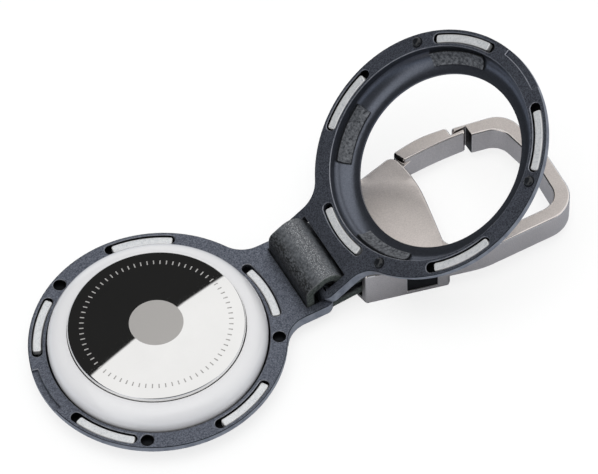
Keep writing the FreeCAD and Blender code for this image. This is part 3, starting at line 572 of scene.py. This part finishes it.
def gate_root_shade(face):
    """End face of the gate beside the shield, painted dark as shade."""
    return face.normal.x < GATE_ROOT_TURN


def ring_middle(hinge, along, facing):
    """Middle of a ring's face, from its hinge."""
    return hinge + along * HINGE_TO_MIDDLE + facing * BAR_RADIUS


def ring_painted_shade(hinge, along, facing):
    """Painted shade on a face of a ring: black in the slots and holes, dim on the wall and bowl below."""
    middle = ring_middle(hinge, along, facing)

    def darkness(face):
        if face.normal.dot(facing) < BACK_TURN:
            return 0.0
        out = face.calc_center_median() - middle
        depth = -out.dot(facing)
        reach = (out + facing * depth).length
        if BAND_DEPTHS[0] < depth < BAND_DEPTHS[1] and abs(reach - BAND_RADIUS) < BAND_HALF:
            return 1.0
        if FACE_LEVEL < depth < STEP_DEPTH and abs(reach - STEP_REACH) < STEP_HALF:
            return STEP_PAINTED_SHADE
        if depth > FACE_LEVEL and reach < STEP_REACH:
            return BOWL_DARK
        return 0.0

    return darkness


def outline_test(hinge, along, facing):
    """Test for faces along the outer outline of a ring and its neck."""
    middle = ring_middle(hinge, along, facing)

    def is_outline(face):
        out = face.calc_center_median() - middle
        flat = out - facing * out.dot(facing)
        beyond = flat.length > OUTLINE_REACH
        return beyond and (abs(out.y) > NECK_HALF_WIDTH or flat.dot(along) > 0)

    return is_outline


def painted_rim_sheen(hinge, along, facing):
    """Painted highlight on the side wall round the outline of a ring, in place of the pale floor's reflection."""
    is_outline = outline_test(hinge, along, facing)

    def light(face):
        return RIM_SHEEN_PAINT * (abs(face.normal.dot(facing)) < RIM_TURN and is_outline(face))

    return light


def face_edge_test(hinge, along, facing):
    """Test for the edges of a ring that lie in its face."""
    middle = ring_middle(hinge, along, facing)

    def is_in_face(edge):
        return all(abs((v.co - middle).dot(facing)) < FACE_LEVEL for v in edge.verts)

    return is_in_face


def bevel(work, edges, width, segments):
    """Round the edges of a mesh; returns the new faces."""
    made = bmesh.ops.bevel(work, geom=edges, offset=width, offset_type="OFFSET", segments=segments,
                           profile=0.5, affect="EDGES", clamp_overlap=False)
    return made["faces"]


def round_corners(work, facing):
    """Round the corners of a flat bar, seen the way it faces."""
    corners = []
    for edge in work.edges:
        start, end = (v.co for v in edge.verts)
        upright = abs((end - start).normalized().dot(facing)) > UPRIGHT
        if upright and edge.is_manifold and edge.calc_face_angle() > SQUARE_ANGLE:
            corners.append(edge)
    bevel(work, corners, MAGNET_CORNER, CORNER_SEGMENTS)


def break_edges(node, width, light=None, darkness=None, bevel_from=SHARP_ANGLE, is_broken=None,
                is_dark=None, bar_facing=None):
    """Copy of a solid with its sharp edges broken, so that they catch the light."""
    work = merged_copy(node)
    if bar_facing is not None:
        round_corners(work, bar_facing)
    edge_layer = work.faces.layers.float.new("edge")
    painted_shade_layer = work.faces.layers.float.new("painted_shade")
    for face in work.faces:
        face[edge_layer] = float(light is not None and light(face))
        face[painted_shade_layer] = float(darkness is not None and darkness(face))
    broken = []
    for edge in work.edges:
        if edge.is_manifold:
            angle = edge.calc_face_angle()
            edge.smooth = angle < bevel_from
            if angle > bevel_from and (is_broken is None or is_broken(edge)):
                broken.append(edge)
    # New edge faces get the edge wear mark, and on a ring's outline a painted dark line as shade
    for face in bevel(work, broken, width, EDGE_SEGMENTS):
        dark = is_dark is not None and is_dark(face)
        face[edge_layer] = float(not dark)
        face[painted_shade_layer] = OUTLINE_PAINTED_SHADE if dark else 0.0
    for face in work.faces:
        face.smooth = True
    name = node + "_finished"
    piece = new_piece(name, plain_mesh(name, work), node)
    weighted = piece.modifiers.new("even shading", "WEIGHTED_NORMAL")
    weighted.keep_sharp = True
    weighted.weight = SHADING_WEIGHT


def make_disc():
    """Steel disc shaded as its true dome with a rolled edge, so that its mirror image is smooth."""
    work = merged_copy("battery_cover")
    for face in work.faces:
        face.smooth = True
    for edge in work.edges:
        edge.smooth = edge.is_manifold and edge.calc_face_angle() < SHARP_ANGLE
    mesh = plain_mesh("battery_cover_finished", work)
    top = Vector(DISC_MIDDLE)
    dome_radius = (DISC_CROWN_RADIUS ** 2 + DISC_CROWN ** 2) / (2 * DISC_CROWN)
    crown_reach = DISC_CROWN_RADIUS + DISC_EDGE_SLACK
    normals = [corner.vector.copy() for corner in mesh.corner_normals]
    for polygon in mesh.polygons:
        for loop in polygon.loop_indices:
            place = mesh.vertices[mesh.loops[loop].vertex_index].co
            aside = Vector((place.x - top.x, place.y - top.y, 0))
            if polygon.normal.z > DISC_EDGE_TURN and aside.length < crown_reach:
                normals[loop] = (aside + Vector((0, 0, dome_radius))).normalized()
            elif polygon.normal.z > -DISC_EDGE_TURN and aside.length > crown_reach:
                normals[loop] = aside.normalized()
    mesh.normals_split_custom_set(normals)
    new_piece("battery_cover_finished", mesh, "battery_cover")


def belt_path(pulleys, step):
    """Points on the middle line of a belt round pulleys of (x, z, signed radius)."""
    leaving = []
    for i, (x, z, radius) in enumerate(pulleys):
        next_x, next_z, next_radius = pulleys[(i + 1) % len(pulleys)]
        span = math.hypot(next_x - x, next_z - z)
        heading = math.atan2(next_z - z, next_x - x)
        leaving.append(heading + math.acos((radius - next_radius) / span))
    points = []
    for i, (x, z, radius) in enumerate(pulleys):
        start = leaving[i - 1]
        turn = (start - leaving[i]) % math.tau
        if radius < 0:
            turn -= math.tau
        count = max(4, round(abs(turn * radius) / step))
        for n in range(count + 1):
            angle = start - turn * n / count
            points.append((x + radius * math.cos(angle), z + radius * math.sin(angle)))
    return points


def strap_path():
    """Closed curve of the strap, drawn flat: along is X, up is Y."""
    tray_bar = JOINT_AT["tray_fold"]
    cover_bar = JOINT_AT["cover_fold"]
    pin = JOINT_AT["strap_swing"]
    back_x = cover_bar.x - STRAP_BACK + STRAP_THICKNESS / 2
    points = belt_path([
        (back_x + STRAP_BAR_WRAP, tray_bar.z, STRAP_BAR_WRAP),
        (back_x + STRAP_SHOULDER_WRAP, cover_bar.z + STRAP_SHOULDER_RISE, STRAP_SHOULDER_WRAP),
        (cover_bar.x + STRAP_RIDGE_REACH * math.cos(STRAP_RIDGE_ANGLE),
         cover_bar.z + STRAP_RIDGE_REACH * math.sin(STRAP_RIDGE_ANGLE), STRAP_RIDGE_WRAP),
        (pin.x - STRAP_DIP_LEAD, pin.z + STRAP_PIN_WRAP + STRAP_DIP_RADIUS, -STRAP_DIP_RADIUS),
        (pin.x, pin.z, STRAP_PIN_WRAP),
    ], STRAP_STEP)
    curve = bpy.data.curves.new("strap_path", "CURVE")
    curve.dimensions = "3D"
    spline = curve.splines.new("POLY")
    spline.points.add(len(points) - 1)
    for point, (x, z) in zip(spline.points, points):
        point.co = (x, z, 0, 1)
    spline.use_cyclic_u = True
    return curve


def new_shape_tree(name, inputs):
    """Empty geometry tree with named inputs; returns it with its input and output sockets."""
    tree = bpy.data.node_groups.new(name, "GeometryNodeTree")
    tree.interface.new_socket("Geometry", in_out="INPUT", socket_type="NodeSocketGeometry")
    for socket_name, kind in inputs:
        tree.interface.new_socket(socket_name, in_out="INPUT", socket_type=kind)
    tree.interface.new_socket("Geometry", in_out="OUTPUT", socket_type="NodeSocketGeometry")
    return tree, tree.nodes.new("NodeGroupInput").outputs, tree.nodes.new("NodeGroupOutput").inputs


def grown_mesh(name, start, tree, values):
    """Plain mesh that a geometry tree makes from a mesh or curve."""
    carrier = add_object(name, start)
    modifier = carrier.modifiers.new(name, "NODES")
    modifier.node_group = tree
    for item in tree.interface.items_tree:
        if item.item_type == "SOCKET" and item.in_out == "INPUT" and item.name in values:
            modifier[item.identifier] = values[item.name]
    return settled_mesh(name, carrier)


def strap_tree():
    """Leather strip swept along a path, with softly rippled faces."""
    number = "NodeSocketFloat"
    tree, given, made = new_shape_tree("leather strip", [
        ("Width", number), ("Thickness", number), ("Edge Round", number), ("Step", number),
        ("Ripple", number), ("Ripple Scale", number), ("Leather", "NodeSocketMaterial"),
    ])
    path = add_node(tree, "GeometryNodeResampleCurve", {"mode": "LENGTH"}, Curve=given["Geometry"],
                    Length=given["Step"])
    upright = add_node(tree, "GeometryNodeSetCurveNormal", {"mode": "Z_UP"}, Curve=path.outputs[0])
    strip = add_node(tree, "GeometryNodeCurvePrimitiveQuadrilateral", Width=given["Thickness"],
                     Height=given["Width"])
    soft = add_node(tree, "GeometryNodeFilletCurve", {"mode": "POLY"}, Curve=strip.outputs[0],
                    Count=STRAP_EDGE_STEPS, Radius=given["Edge Round"])
    fine = add_node(tree, "GeometryNodeResampleCurve", {"mode": "LENGTH"}, Curve=soft.outputs[0],
                    Length=given["Step"])
    swept = add_node(tree, "GeometryNodeCurveToMesh", Curve=upright.outputs[0],
                     Profile_Curve=fine.outputs[0])
    place = tree.nodes.new("GeometryNodeInputPosition").outputs[0]
    wave = add_node(tree, "ShaderNodeTexNoise", Vector=place, Scale=given["Ripple Scale"], Detail=3.0)
    centred = calculate(tree, "SUBTRACT", wave.outputs["Fac"], 0.5)
    lift = calculate(tree, "MULTIPLY", centred, given["Ripple"])
    outward = tree.nodes.new("GeometryNodeInputNormal").outputs[0]
    push = add_node(tree, "ShaderNodeVectorMath", {"operation": "SCALE"}, Scale=lift)
    put(tree, outward, push.inputs[0])
    rippled = add_node(tree, "GeometryNodeSetPosition", Geometry=swept.outputs[0], Offset=push.outputs[0])
    stood = add_node(tree, "GeometryNodeTransform", Geometry=rippled.outputs[0],
                     Rotation=(math.pi / 2, 0, 0))
    smooth = add_node(tree, "GeometryNodeSetShadeSmooth", Geometry=stood.outputs[0])
    whole = add_node(tree, "GeometryNodeRealizeInstances", Geometry=smooth.outputs[0])
    dressed = add_node(tree, "GeometryNodeSetMaterial", Geometry=whole.outputs[0],
                       Material=given["Leather"])
    put(tree, dressed.outputs[0], made["Geometry"])
    return tree


def make_strap():
    """Leather strap in its closed loop."""
    mesh = grown_mesh("leather_strap", strap_path(), strap_tree(), {
        "Width": STRAP_WIDTH, "Thickness": STRAP_THICKNESS, "Edge Round": STRAP_EDGE_ROUND,
        "Step": STRAP_STEP, "Ripple": STRAP_RIPPLE, "Ripple Scale": STRAP_RIPPLE_SCALE,
        "Leather": FINISHES["strap_leather"],
    })
    new_piece("leather_strap", mesh, "strap")


def marks_tree():
    """Short bars set round a circle on a shallow dome."""
    number = "NodeSocketFloat"
    tree, given, made = new_shape_tree("ring of marks", [
        ("Count", "NodeSocketInt"), ("Radius", number), ("Length", number), ("Width", number),
        ("Height", number), ("Drop", number), ("Middle", "NodeSocketVector"),
        ("Steel", "NodeSocketMaterial"),
    ])
    circle = add_node(tree, "GeometryNodeMeshCircle", Vertices=given["Count"], Radius=given["Radius"])
    size = add_node(tree, "ShaderNodeCombineXYZ", X=given["Length"], Y=given["Width"], Z=given["Height"])
    bar = add_node(tree, "GeometryNodeMeshCube", Size=size.outputs[0])
    place = tree.nodes.new("GeometryNodeInputPosition").outputs[0]
    turned = add_node(tree, "FunctionNodeAlignRotationToVector", {"axis": "X"}, Vector=place)
    bars = add_node(tree, "GeometryNodeInstanceOnPoints", Points=circle.outputs[0], Instance=bar.outputs[0],
                    Rotation=turned.outputs[0])
    whole = add_node(tree, "GeometryNodeRealizeInstances", Geometry=bars.outputs[0])
    down = calculate(tree, "MULTIPLY", given["Drop"], -1.0)
    lower = add_node(tree, "ShaderNodeCombineXYZ", X=0.0, Y=0.0, Z=down)
    middle = calculate_vector(tree, "ADD", given["Middle"], lower.outputs[0])["Vector"]
    moved = add_node(tree, "GeometryNodeTransform", Geometry=whole.outputs[0], Translation=middle)
    dressed = add_node(tree, "GeometryNodeSetMaterial", Geometry=moved.outputs[0], Material=given["Steel"])
    put(tree, dressed.outputs[0], made["Geometry"])
    return tree


def make_marks():
    """Plain ring of marks round the steel disc."""
    drop = DISC_CROWN * (MARK_RADIUS / DISC_CROWN_RADIUS) ** 2
    mesh = grown_mesh("disc_marks", bpy.data.meshes.new("disc_marks_start"), marks_tree(), {
        "Count": MARK_COUNT, "Radius": MARK_RADIUS, "Length": MARK_LENGTH, "Width": MARK_WIDTH,
        "Height": MARK_HEIGHT, "Drop": drop, "Middle": DISC_MIDDLE, "Steel": FINISHES["etched_steel"],
    })
    marks = add_object("disc_marks", mesh)
    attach(marks, "battery_cover")


def out_of_bowl(place):
    """Way that the cover's bowl faces at a place on it."""
    middle = ring_middle(*COVER_LIE)
    facing = COVER_LIE[2]
    out = place - middle
    across = (out - facing * out.dot(facing)).normalized()
    return (middle + across * BOWL_REACH - facing * BOWL_DEPTH - place).normalized()


def make_pad(node, grit):
    """Friction pad with soft edges and a gritty face, in the place of its solid."""
    start = plain_mesh(node + "_start", merged_copy(node))
    carrier = add_object(node + "_start", start)
    remesh = carrier.modifiers.new("even mesh", "REMESH")
    remesh.mode = "VOXEL"
    remesh.voxel_size = PAD_VOXEL
    soften = carrier.modifiers.new("soft edges", "SMOOTH")
    soften.iterations = PAD_SOFTENING
    mesh = settled_mesh(node + "_finished", carrier)
    # Side walls are marked for the pad's painted shade
    edge = mesh.attributes.new("edge", "FLOAT", "POINT")
    for vertex in mesh.vertices:
        edge.data[vertex.index].value = float(vertex.normal.dot(out_of_bowl(vertex.co)) < PAD_EDGE_TURN)
        coarse = noise.noise(vertex.co * PAD_GRIT_SCALE)
        fine = noise.noise(vertex.co * PAD_GRIT_SCALE * PAD_FINE_GRIT)
        vertex.co += vertex.normal * grit * (coarse + PAD_FINE_SHARE * fine)
    mesh.shade_smooth()
    new_piece(node + "_finished", mesh, node)


for node, shown in frame["nodes"].items():
    for material_slot in shown.material_slots:
        material_slot.material = FINISHES[SLOT_OF[node]]

for node, lie in (("tray_ring", TRAY_LIE), ("cover_ring", COVER_LIE)):
    break_edges(node, RING_EDGE, painted_rim_sheen(*lie), ring_painted_shade(*lie), is_broken=face_edge_test(*lie),
                is_dark=outline_test(*lie))
break_edges("carabiner_frame", METAL_EDGE, chamfer_light, hook_gap_shade, SQUARE_ANGLE)
break_edges("gate", METAL_EDGE, chamfer_light, gate_root_shade, SQUARE_ANGLE)
make_disc()
for node in SLOT_OF:
    if node.startswith("tray_magnet"):
        break_edges(node, MAGNET_EDGE, bar_facing=TRAY_LIE[2])
    if node.startswith("cover_magnet"):
        break_edges(node, MAGNET_EDGE, bar_facing=COVER_LIE[2])
make_strap()
make_marks()
for number, grit in enumerate(PAD_GRITS, start=1):
    make_pad(f"grip_pad_{number}", grit)


# Studio: pale floor, soft light, camera
def make_floor():
    """Pale pane, partly clear to the camera, so that a ring that hangs below it still shows and is lit."""
    bpy.ops.mesh.primitive_plane_add(size=FLOOR_SIZE, location=(0, 0, FLOOR_LEVEL))
    floor = bpy.context.object
    floor.name = "floor"
    material = bpy.data.materials.new("pale_floor")
    material.use_nodes = True
    tree = material.node_tree
    tree.nodes.clear()
    path = tree.nodes.new("ShaderNodeLightPath").outputs
    lit = add_node(tree, "ShaderNodeBsdfDiffuse", Color=FLOOR_COLOUR).outputs[0]
    shaded = add_node(tree, "ShaderNodeBsdfDiffuse", Color=WHITE).outputs[0]
    glow = add_node(tree, "ShaderNodeEmission", Color=WHITE, Strength=FLOOR_GLOW).outputs[0]
    seen = add_in_order(tree, "ShaderNodeAddShader", (shaded, glow))[0]
    pale = mix_shaders(tree, path["Is Camera Ray"], lit, seen)
    from_below = tree.nodes.new("ShaderNodeNewGeometry").outputs["Backfacing"]
    clearness = calculate(tree, "MAXIMUM", from_below, FLOOR_CLEAR)
    for_camera = calculate(tree, "MULTIPLY", path["Is Camera Ray"], clearness)
    beyond_pane = calculate(tree, "GREATER_THAN", path["Transparent Depth"], 0.5)
    see_through = calculate(tree, "MAXIMUM", for_camera, beyond_pane)
    clear = add_node(tree, "ShaderNodeBsdfTransparent", Color=WHITE).outputs[0]
    pane = mix_shaders(tree, see_through, pale, clear)
    add_node(tree, "ShaderNodeOutputMaterial", Surface=pane)
    floor.data.materials.append(material)


def make_world():
    """White for the camera, soft fill for the light, and a room with dark parts for the reflections."""
    world = bpy.data.worlds.new("studio")
    bpy.context.scene.world = world
    world.use_nodes = True
    tree = world.node_tree
    tree.nodes.clear()
    path = tree.nodes.new("ShaderNodeLightPath").outputs
    heading = tree.nodes.new("ShaderNodeTexCoord").outputs["Generated"]
    to_wall = calculate_vector(tree, "DOT_PRODUCT", heading, WALL_SIDE)["Value"]
    behind = spread(tree, to_wall, *WALL_EDGE)
    to_end = calculate_vector(tree, "DOT_PRODUCT", heading, WALL_END_SIDE)["Value"]
    within = spread(tree, to_end, *WALL_END_EDGE, 1.0, 0.0)
    wall_light = spread(tree, calculate(tree, "MULTIPLY", behind, within), 0.0, 1.0, 1.0, WALL_LIGHT)
    to_near = calculate_vector(tree, "DOT_PRODUCT", heading, NEAR_SIDE)["Value"]
    near_light = spread(tree, to_near, *NEAR_EDGE, 1.0, NEAR_LIGHT)
    room_light = calculate(tree, "MULTIPLY", wall_light, near_light)
    fill = add_node(tree, "ShaderNodeBackground", Color=WHITE, Strength=FILL_LIGHT).outputs[0]
    room = add_node(tree, "ShaderNodeBackground", Color=WHITE, Strength=room_light).outputs[0]
    white = add_node(tree, "ShaderNodeBackground", Color=WHITE, Strength=1.0).outputs[0]
    unseen = mix_shaders(tree, path["Is Glossy Ray"], fill, room)
    add_node(tree, "ShaderNodeOutputWorld", Surface=mix_shaders(tree, path["Is Camera Ray"], unseen, white))


def make_softbox():
    """Round lamp overhead, left out of the reflections so that level metal doesn't clip to white."""
    lamp = bpy.data.lights.new("overhead_softbox", "AREA")
    lamp.shape = "DISK"
    lamp.size = SOFTBOX_SIZE
    lamp.energy = SOFTBOX_POWER
    holder = add_object("overhead_softbox", lamp)
    holder.location = SOFTBOX_PLACE
    holder.rotation_euler = (-Vector(SOFTBOX_PLACE)).to_track_quat("-Z", "Y").to_euler()
    holder.visible_glossy = False


def make_camera():
    """Camera at the photograph's angle and scale."""
    lens = bpy.data.cameras.new("photo_camera")
    camera = add_object("photo_camera", lens)
    camera.rotation_euler = (CAMERA_TILT, CAMERA_ROLL, CAMERA_TURN)
    ahead = camera.rotation_euler.to_matrix() @ Vector((0, 0, -1))
    camera.location = CAMERA_AIM - ahead * CAMERA_DISTANCE
    lens.sensor_width = CAMERA_SENSOR
    lens.lens = PIXELS_PER_MM / MM * CAMERA_DISTANCE * CAMERA_SENSOR / PHOTO_WIDTH
    lens.clip_start = 10 * MM
    lens.clip_end = 20.0
    bpy.context.scene.camera = camera


make_floor()
make_world()
make_softbox()
make_camera()
bpy.context.scene.view_settings.view_transform = "Standard"
